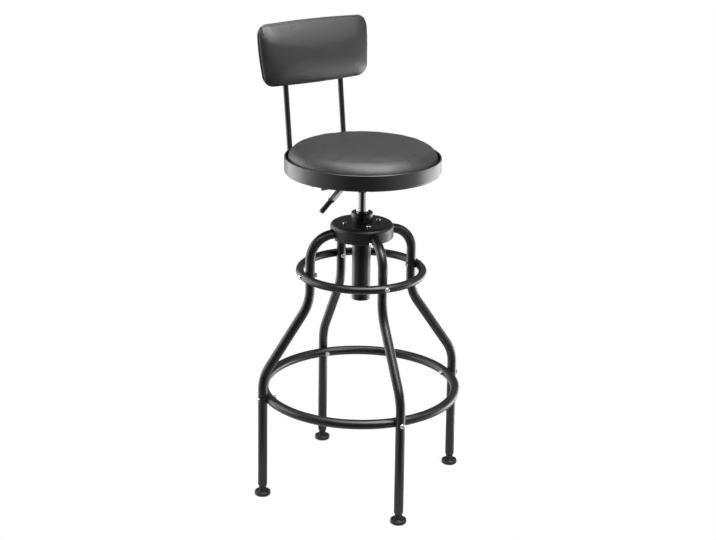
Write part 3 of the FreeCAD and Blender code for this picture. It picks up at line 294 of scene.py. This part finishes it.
def relax(piece, free_share):
    """Even out the piece's form, where free_share says how freely a point may move."""
    group = piece.vertex_groups.new(name="free")
    for vertex in piece.data.vertices:
        group.add([vertex.index], free_share(vertex.co), "REPLACE")
    modifier = piece.modifiers.new("Smooth", "SMOOTH")
    modifier.factor = SMOOTH_FACTOR
    modifier.iterations = PAD_SMOOTHING
    modifier.vertex_group = "free"
    bpy.context.view_layer.update()
    evaluated = piece.evaluated_get(bpy.context.evaluated_depsgraph_get())
    places = [v.co.copy() for v in evaluated.data.vertices]
    piece.modifiers.remove(modifier)
    piece.vertex_groups.remove(group)
    for vertex, place in zip(piece.data.vertices, places):
        vertex.co = place
    piece.data.update()


# Seat cushion


def seat_profile(radius, bottom, top):
    """Radius and height of each ring, from the middle of the underside to the top."""
    shoulder_z = top - SEAT_CROWN
    inner = radius - SEAT_SHOULDER
    rise = SEAT_CROWN - SEAT_SHOULDER
    dome = (inner ** 2 + SEAT_CROWN ** 2 - SEAT_SHOULDER ** 2) / (2 * rise)
    tilt = math.asin(inner / (dome - SEAT_SHOULDER))
    foot = radius - SEAT_FOOT_INSET
    rings = [(foot * k / SEAT_BOTTOM_RINGS, bottom) for k in range(1, SEAT_BOTTOM_RINGS + 1)]
    for share in SEAT_TUCK_SHARES:
        bulge = math.sin(math.pi / 2 * share)
        rings.append((foot + SEAT_FOOT_INSET * bulge, bottom + SEAT_TUCK * share))
    for k in range(SEAT_SHOULDER_RINGS + 1):
        angle = math.pi / 2 + (tilt - math.pi / 2) * k / SEAT_SHOULDER_RINGS
        rings.append((inner + SEAT_SHOULDER * math.sin(angle),
                      shoulder_z + SEAT_SHOULDER * math.cos(angle)))
    for k in range(1, SEAT_DOME_RINGS):
        angle = tilt * (1 - k / SEAT_DOME_RINGS)
        rings.append((dome * math.sin(angle), top - dome + dome * math.cos(angle)))
    return rings


def wrinkle_seat(cushion, radius, tucked):
    for vertex in cushion.data.vertices:
        point = vertex.co
        if point.z < tucked:
            continue
        outward = Vector((point.x, point.y, 0)).normalized()
        near_edge = math.exp(-((radius - point.xy.length) / SEAT_PUCKER_REACH) ** 2)
        wave = noise.noise(outward * SEAT_WAVES + SEAT_WAVE_SHIFT)
        fine = noise.noise(outward * SEAT_FINE_WAVES)
        vertex.co += (outward + Vector((0, 0, 1))) * SEAT_PUCKER * near_edge * (wave + fine / 2)


def make_seat_cushion():
    low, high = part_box("seat_cushion")
    radius = high.x - SEAT_SIDE_SLACK
    bottom = low.z
    rings = []
    for ring_r, z in seat_profile(radius, bottom, high.z - SEAT_SLACK):
        ring = []
        for k in range(SEAT_AROUND):
            angle = math.tau * k / SEAT_AROUND
            ring.append(Vector((ring_r * math.cos(angle), ring_r * math.sin(angle), z)))
        rings.append(ring)
    top = Vector((0, 0, high.z - SEAT_SLACK))
    cushion = ringed_mesh("seat_cover", Vector((0, 0, bottom)), rings, top)
    tucked = bottom + SEAT_TUCK
    swell(cushion, lambda point: point.z < tucked, SEAT_CAP, SEAT_EASE)
    wrinkle_seat(cushion, radius, tucked)
    cushion.data.materials.append(FINISHES["seat_vinyl"])
    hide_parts("seat_cushion")
    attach(cushion, "seat")


# Back pad


def pad_ring(inset, depth, share=1.0):
    """The pad's rounded outline, drawn in by inset, or shrunk to a share of its size."""
    half_w = PAD_WIDTH / 2 - inset - PAD_BOW
    half_h = PAD_HEIGHT / 2 - inset - PAD_BOW
    drawn_in_corner = (PAD_HEIGHT / 2 - inset) * PAD_CORNER / (PAD_HEIGHT / 2) + PAD_BOW
    corner = min(PAD_CORNER, drawn_in_corner)
    flat = []
    for quarter, (sx, sz) in enumerate(PAD_QUARTERS):
        centre = Vector((sx * (half_w - corner), sz * (half_h - corner)))
        for k in range(PAD_CORNER_POINTS):
            angle = math.pi / 2 * (quarter + k / PAD_CORNER_POINTS)
            flat.append(centre + corner * Vector((math.cos(angle), math.sin(angle))))
        next_angle = math.pi / 2 * (quarter + 1)
        start = centre + corner * Vector((math.cos(next_angle), math.sin(next_angle)))
        if quarter % 2 == 0:
            end = Vector((-start.x, start.y))
            bow_out = Vector((0, sz))
            count = PAD_LONG_POINTS
        else:
            end = Vector((start.x, -start.y))
            bow_out = Vector((sx, 0))
            count = PAD_SHORT_POINTS
        for k in range(count):
            along = k / count
            flat.append(start.lerp(end, along) + bow_out * PAD_BOW * 4 * along * (1 - along))
    ring = []
    for point in flat:
        taper = 1 + PAD_TAPER / (PAD_WIDTH / 2) * point.y / (PAD_HEIGHT / 2)
        z = PAD_CENTRE_Z + point.y * share
        ring.append(Vector((point.x * taper * share, -depth, z)))
    return ring


def pad_angles():
    """Angles of the crown's rings, closer together across the seam."""
    angles = [PAD_LAST_ANGLE * k / PAD_CROWN_RINGS for k in range(PAD_CROWN_RINGS + 1)]
    clear = SEAM_CLEARANCE * SEAM_HALF_ANGLE
    angles = [angle for angle in angles if abs(angle - SEAM_ANGLE) > clear]
    for step in SEAM_STEPS:
        angles.append(SEAM_ANGLE + SEAM_HALF_ANGLE * step)
    return sorted(angles)


def in_pocket(point):
    """Whether the point is within the outline of the pocket in the pad's back."""
    margin = HELD_MARGIN - POCKET_INSET
    inside_x = abs(point.x) < PAD_WIDTH / 2 + margin
    inside_z = abs(point.z - PAD_CENTRE_Z) < PAD_HEIGHT / 2 + margin
    return inside_x and inside_z


def is_held(point):
    """Whether the cover is fixed here, at the pad's back edge or in its pocket."""
    depth = -point.y
    return depth < PAD_HELD or (depth < POCKET_FLOOR + HELD_MARGIN and in_pocket(point))


def free_share(point):
    """How freely the point moves when the form is evened out."""
    depth = -point.y
    if in_pocket(point) and depth < POCKET_FLOOR + STILL_MARGIN:
        return 0.0
    return min(1.0, max(0.0, (depth - PAD_WIDEST) / PAD_FREE_DEPTH))


def sew(pad):
    """Press a seam round the front panel, with short puckers beside it."""
    seam_depth = PAD_WIDEST + PAD_CROWN * math.sin(SEAM_ANGLE)
    pocket_depth = PAD_BACK + POCKET_DEPTH * POCKET_MARGIN
    normals = [v.normal.copy() for v in pad.data.vertices]
    for vertex, normal in zip(pad.data.vertices, normals):
        depth = -vertex.co.y
        if depth < PAD_HELD or (in_pocket(vertex.co) and depth < pocket_depth):
            continue
        from_seam = depth - seam_depth
        along = Vector((vertex.co.x, 0, vertex.co.z)) / PUCKER_PITCH
        groove = SEAM_DEPTH * math.exp(-(from_seam / SEAM_WIDTH) ** 2)
        reach = PUCKER_REACH if from_seam > 0 else PUCKER_REACH_BEHIND
        pucker = PUCKER_DEPTH * noise.noise(along) * math.exp(-abs(from_seam) / reach)
        vertex.co -= normal * (groove + pucker)
    pad.data.update()


def make_back_pad():
    crown = PAD_CROWN - PAD_SLACK
    front = PAD_WIDEST + crown * math.sin(PAD_LAST_ANGLE)
    rings = [pad_ring(POCKET_INSET, POCKET_FLOOR, share) for share in POCKET_SHARES]
    rings.append(pad_ring(POCKET_INSET, PAD_BACK))
    rings.append(pad_ring(PAD_TUCK, PAD_BACK))
    rings.append(pad_ring(PAD_HELD_TUCK, PAD_HELD))
    for angle in pad_angles():
        inset = PAD_REACH * (1 - math.cos(angle))
        rings.append(pad_ring(inset, PAD_WIDEST + crown * math.sin(angle)))
    last_inset = PAD_REACH * (1 - math.cos(PAD_LAST_ANGLE))
    slope = PAD_CROWN * math.cos(PAD_LAST_ANGLE) / (PAD_REACH * math.sin(PAD_LAST_ANGLE))
    rise = slope * (PAD_HEIGHT / 2 - last_inset) / 2
    for k in range(1, PAD_CENTRE_RINGS):
        share = 1 - k / PAD_CENTRE_RINGS
        rings.append(pad_ring(last_inset, front + rise * (1 - share ** 2), share))
    pad = ringed_mesh("back_cover", Vector((0, -POCKET_FLOOR, PAD_CENTRE_Z)), rings,
                      Vector((0, -front - rise, PAD_CENTRE_Z)))
    swell(pad, is_held, PAD_CAP, PAD_EASE)
    relax(pad, free_share)
    sew(pad)
    lean = Matrix.Translation(POST_CORNER) @ Matrix.Rotation(-POST_RECLINE, 4, "X")
    pad.data.transform(lean)
    pad.data.materials.append(FINISHES["back_vinyl"])
    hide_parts("back_pad")
    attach(pad, "seat")


# Finishes


def new_finish(name, metallic=0.0, specular=0.5):
    material = bpy.data.materials.new(name)
    material.use_nodes = True
    shader = material.node_tree.nodes["Principled BSDF"]
    shader.inputs["Metallic"].default_value = metallic
    shader.inputs["Specular IOR Level"].default_value = specular
    FINISHES[name] = material
    return material.node_tree


def coordinates(tree, stretch):
    """Object coordinates, stretched by a scale along each axis."""
    source = tree.nodes.new("ShaderNodeTexCoord")
    mapping = tree.nodes.new("ShaderNodeMapping")
    mapping.inputs["Scale"].default_value = stretch
    tree.links.new(source.outputs["Object"], mapping.inputs["Vector"])
    return mapping.outputs["Vector"]


def noise_value(tree, scale, detail=3.0, stretch=(1, 1, 1), distortion=0.0):
    texture = tree.nodes.new("ShaderNodeTexNoise")
    texture.inputs["Scale"].default_value = scale
    texture.inputs["Detail"].default_value = detail
    texture.inputs["Distortion"].default_value = distortion
    tree.links.new(coordinates(tree, stretch), texture.inputs["Vector"])
    return texture.outputs["Fac"]


def cell_value(tree, scale, feature="DISTANCE_TO_EDGE"):
    texture = tree.nodes.new("ShaderNodeTexVoronoi")
    texture.feature = feature
    texture.inputs["Scale"].default_value = scale
    tree.links.new(coordinates(tree, (1, 1, 1)), texture.inputs["Vector"])
    return texture.outputs["Distance"]


def ranged(tree, value, low, high, start=0.3, end=0.7):
    """The value, brought from start and end to low and high."""
    node = tree.nodes.new("ShaderNodeMapRange")
    node.inputs["From Min"].default_value = start
    node.inputs["From Max"].default_value = end
    node.inputs["To Min"].default_value = low
    node.inputs["To Max"].default_value = high
    tree.links.new(value, node.inputs["Value"])
    return node.outputs["Result"]


def colour_between(tree, value, first, second):
    node = tree.nodes.new("ShaderNodeMix")
    node.data_type = "RGBA"
    node.inputs["A"].default_value = (*first, 1)
    node.inputs["B"].default_value = (*second, 1)
    tree.links.new(ranged(tree, value, 0, 1), node.inputs["Factor"])
    shader = tree.nodes["Principled BSDF"]
    tree.links.new(node.outputs["Result"], shader.inputs["Base Color"])


def roughness_between(tree, value, low, high):
    shader = tree.nodes["Principled BSDF"]
    tree.links.new(ranged(tree, value, low, high), shader.inputs["Roughness"])


def relief(tree, *layers):
    """Bump from several layers, each a height value and its depth in micrometres."""
    normal = None
    for value, depth in layers:
        bump = tree.nodes.new("ShaderNodeBump")
        bump.inputs["Distance"].default_value = depth * MICRON
        tree.links.new(value, bump.inputs["Height"])
        if normal is not None:
            tree.links.new(normal, bump.inputs["Normal"])
        normal = bump.outputs["Normal"]
    tree.links.new(normal, tree.nodes["Principled BSDF"].inputs["Normal"])


def grey(level, tint=0.0):
    """A grey, with the tint's share more blue."""
    return (level, level, level * (1 + tint))


def make_powder_coat():
    tree = new_finish("powder_coat")
    colour_between(tree, noise_value(tree, 14), grey(0.004), grey(0.006, tint=0.04))
    roughness_between(tree, noise_value(tree, 30, detail=4), low=0.30, high=0.38)
    relief(tree, (noise_value(tree, 700, detail=2), 60))


def make_cast_coat():
    """The hub: the same coat over a sand-cast face."""
    tree = new_finish("cast_coat")
    colour_between(tree, noise_value(tree, 260, detail=2), grey(0.003), grey(0.008, tint=0.03))
    roughness_between(tree, noise_value(tree, 90), low=0.36, high=0.50)
    relief(tree, (noise_value(tree, 420), 300), (cell_value(tree, 700, "F1"), 150))


def make_pan_paint():
    """The seat's metal, painted over the faint level lines that spinning leaves."""
    tree = new_finish("pan_paint", specular=0.75)
    lines = noise_value(tree, 1, detail=4, stretch=(14, 14, 2600))
    colour_between(tree, noise_value(tree, 10), grey(0.003), grey(0.006, tint=0.03))
    roughness_between(tree, lines, low=0.30, high=0.40)
    relief(tree, (lines, 25), (noise_value(tree, 800, detail=2), 30))


def make_zinc():
    tree = new_finish("zinc", metallic=1.0)
    colour_between(tree, noise_value(tree, 160), grey(0.60, tint=0.03), grey(0.78, tint=0.02))
    roughness_between(tree, noise_value(tree, 500), low=0.20, high=0.34)
    relief(tree, (noise_value(tree, 1500, detail=2), 20))


def make_ground_steel():
    tree = new_finish("ground_steel", metallic=1.0)
    lines = noise_value(tree, 1, stretch=(60, 60, 3000))
    colour_between(tree, noise_value(tree, 90), grey(0.50, tint=0.02), grey(0.62, tint=0.03))
    roughness_between(tree, lines, low=0.22, high=0.36)
    relief(tree, (lines, 20))


def make_chrome():
    tree = new_finish("chrome", metallic=1.0)
    colour_between(tree, noise_value(tree, 40), grey(0.64), grey(0.70, tint=0.01))
    haze = noise_value(tree, 1, stretch=(90, 90, 700))
    roughness_between(tree, haze, low=0.05, high=0.11)
    relief(tree, (noise_value(tree, 1, detail=2, stretch=(400, 400, 30)), 4))


def make_plain_metal(name, dark, light, line_scale):
    """Bare metal with fine tool lines round the upright axis."""
    tree = new_finish(name, metallic=1.0)
    lines = noise_value(tree, 1, stretch=(50, 50, line_scale))
    colour_between(tree, noise_value(tree, 120), dark, light)
    roughness_between(tree, lines, low=0.25, high=0.4)
    relief(tree, (lines, 20))


def make_moulding(name, level, low, high, grain):
    """Moulded plastic or rubber with a fine spark-eroded grain."""
    tree = new_finish(name, specular=0.45)
    colour_between(tree, noise_value(tree, 60), grey(level * 0.8), grey(level * 1.25))
    roughness_between(tree, noise_value(tree, 220, detail=4), low, high)
    relief(tree, (noise_value(tree, 1600), grain))


def make_plywood():
    tree = new_finish("plywood", specular=0.3)
    grain = noise_value(tree, 1, detail=5, stretch=(6, 90, 420), distortion=0.6)
    colour_between(tree, grain, (0.36, 0.22, 0.11), (0.58, 0.41, 0.24))
    roughness_between(tree, grain, low=0.6, high=0.8)
    relief(tree, (grain, 100))


def make_vinyl(name, dark, light, low, high, specular):
    """Satin vinyl: pebbled grain, a finer pore, and slow changes of tone."""
    tree = new_finish(name, specular=specular)
    colour_between(tree, noise_value(tree, 7, detail=2), grey(dark), grey(light, tint=0.02))
    roughness_between(tree, noise_value(tree, 45, detail=4), low, high)
    pebbles = ranged(tree, cell_value(tree, 850), 0, 1, start=0.0, end=0.25)
    relief(tree, (pebbles, 70), (noise_value(tree, 2200, detail=2), 30))


def make_finishes():
    make_powder_coat()
    make_cast_coat()
    make_pan_paint()
    make_zinc()
    make_ground_steel()
    make_chrome()
    make_plywood()
    make_plain_metal("turned_aluminium", grey(0.62), grey(0.74, tint=0.01), line_scale=2200)
    make_plain_metal("lever_steel", grey(0.42), grey(0.54, tint=0.01), line_scale=200)
    make_plain_metal("pressed_brass", (0.52, 0.34, 0.12), (0.66, 0.46, 0.18), line_scale=300)
    make_moulding("foot_rubber", 0.005, low=0.30, high=0.44, grain=60)
    make_moulding("seal_rubber", 0.015, low=0.5, high=0.65, grain=30)
    make_moulding("black_plastic", 0.012, low=0.34, high=0.46, grain=40)
    make_moulding("bush_plastic", 0.03, low=0.4, high=0.55, grain=30)
    make_moulding("grip_plastic", 0.010, low=0.26, high=0.38, grain=40)
    make_vinyl("seat_vinyl", dark=0.013, light=0.017, low=0.38, high=0.45, specular=0.5)
    make_vinyl("back_vinyl", dark=0.007, light=0.010, low=0.38, high=0.44, specular=0.54)


def dress_nodes():
    for finish, names in NODE_FINISHES.items():
        for name in names:
            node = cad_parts[name]
            node.data.materials.clear()
            node.data.materials.append(FINISHES[finish])


# Floor, lamps, world and camera


def make_floor():
    """A pale disc that keeps the stool's shadow and glows a little to the camera alone."""
    mesh = bpy.data.meshes.new("floor")
    angles = [math.tau * k / FLOOR_CORNERS for k in range(FLOOR_CORNERS)]
    corners = [(FLOOR_RADIUS * math.cos(angle), FLOOR_RADIUS * math.sin(angle), -FLOOR_DROP)
               for angle in angles]
    mesh.from_pydata(corners, [], [tuple(range(FLOOR_CORNERS))])
    floor = add_object(bpy.data.objects.new("floor", mesh))
    material = bpy.data.materials.new("pale_floor")
    material.use_nodes = True
    tree = material.node_tree
    tree.nodes.clear()
    diffuse = tree.nodes.new("ShaderNodeBsdfDiffuse")
    diffuse.inputs["Color"].default_value = (*grey(FLOOR_COLOUR), 1)
    glow = tree.nodes.new("ShaderNodeEmission")
    path = tree.nodes.new("ShaderNodeLightPath")
    strength = tree.nodes.new("ShaderNodeMath")
    strength.operation = "MULTIPLY"
    strength.inputs[1].default_value = FLOOR_GLOW
    both = tree.nodes.new("ShaderNodeAddShader")
    output = tree.nodes.new("ShaderNodeOutputMaterial")
    tree.links.new(path.outputs["Is Camera Ray"], strength.inputs[0])
    tree.links.new(strength.outputs[0], glow.inputs["Strength"])
    tree.links.new(diffuse.outputs[0], both.inputs[0])
    tree.links.new(glow.outputs[0], both.inputs[1])
    tree.links.new(both.outputs[0], output.inputs["Surface"])
    mesh.materials.append(material)


def make_lamp(name, angle, distance, height, width, tall, radiance):
    """A soft box at an angle round the stool from the camera, to its right if positive."""
    turn = math.radians(angle)
    direction = TOWARDS_CAMERA * math.cos(turn) + TOWARDS_RIGHT * math.sin(turn)
    light = bpy.data.lights.new(name, "AREA")
    light.shape = "RECTANGLE"
    light.size = width
    light.size_y = tall
    light.energy = radiance * math.pi * width * tall
    lamp = add_object(bpy.data.objects.new(name, light))
    lamp.location = direction * distance + Vector((0, 0, height))
    away = (lamp.location - Vector((0, 0, AIM_HEIGHT))).normalized()
    side = Vector((-direction.y, direction.x, 0))
    turned = Matrix((side, away.cross(side), away)).transposed()
    lamp.matrix_world = Matrix.Translation(lamp.location) @ turned.to_4x4()


def chosen(tree, factor, otherwise, value):
    """value where the factor is 1, and otherwise where it is 0."""
    node = tree.nodes.new("ShaderNodeMix")
    tree.links.new(factor, node.inputs["Factor"])
    for socket, content in (("A", otherwise), ("B", value)):
        if isinstance(content, float):
            node.inputs[socket].default_value = content
        else:
            tree.links.new(content, node.inputs[socket])
    return node.outputs["Result"]


def make_world():
    """White to the camera. Mirrored, it is white low behind the stool and dark in front."""
    world = bpy.data.worlds.new("studio")
    bpy.context.scene.world = world
    world.use_nodes = True
    tree = world.node_tree
    tree.nodes.clear()
    source = tree.nodes.new("ShaderNodeTexCoord")
    facing = tree.nodes.new("ShaderNodeVectorMath")
    facing.operation = "DOT_PRODUCT"
    facing.inputs[1].default_value = TOWARDS_CAMERA
    tree.links.new(source.outputs["Generated"], facing.inputs[0])
    split = tree.nodes.new("ShaderNodeSeparateXYZ")
    tree.links.new(source.outputs["Generated"], split.inputs["Vector"])
    level = ranged(tree, split.outputs["Z"], WORLD_BACK, WORLD_HIGH, *WORLD_RISE)
    deep = ranged(tree, split.outputs["Z"], 1, 0, *WORLD_DEEP_RISE)
    in_front = ranged(tree, facing.outputs["Value"], 0, 1, *WORLD_FRONT_FACING)
    path = tree.nodes.new("ShaderNodeLightPath")
    behind = chosen(tree, deep, level, WORLD_DEEP)
    mirrored = chosen(tree, in_front, behind, WORLD_FRONT)
    strength = chosen(tree, path.outputs["Is Glossy Ray"], WORLD_AMBIENT, mirrored)
    strength = chosen(tree, path.outputs["Is Transmission Ray"], strength, 1.0)
    strength = chosen(tree, path.outputs["Is Camera Ray"], strength, 1.0)
    background = tree.nodes.new("ShaderNodeBackground")
    background.inputs["Color"].default_value = (*grey(1.0), 1)
    output = tree.nodes.new("ShaderNodeOutputWorld")
    tree.links.new(strength, background.inputs["Strength"])
    tree.links.new(background.outputs[0], output.inputs["Surface"])


def make_camera():
    data = bpy.data.cameras.new("camera")
    data.lens = CAMERA_LENS_MM
    data.sensor_width = CAMERA_SENSOR_MM
    camera = add_object(bpy.data.objects.new("camera", data))
    back = CAMERA_RIGHT.cross(CAMERA_UP)
    turn = Matrix((CAMERA_RIGHT, CAMERA_UP, back)).transposed().to_4x4()
    camera.matrix_world = Matrix.Translation(CAMERA_PLACE) @ turn
    bpy.context.scene.camera = camera


make_finishes()
dress_nodes()
make_seat_cushion()
make_back_pad()
make_floor()
for lamp_name, lamp_values in LAMPS.items():
    make_lamp(lamp_name, *lamp_values)
make_world()
make_camera()
bpy.context.scene.view_settings.view_transform = "Standard"
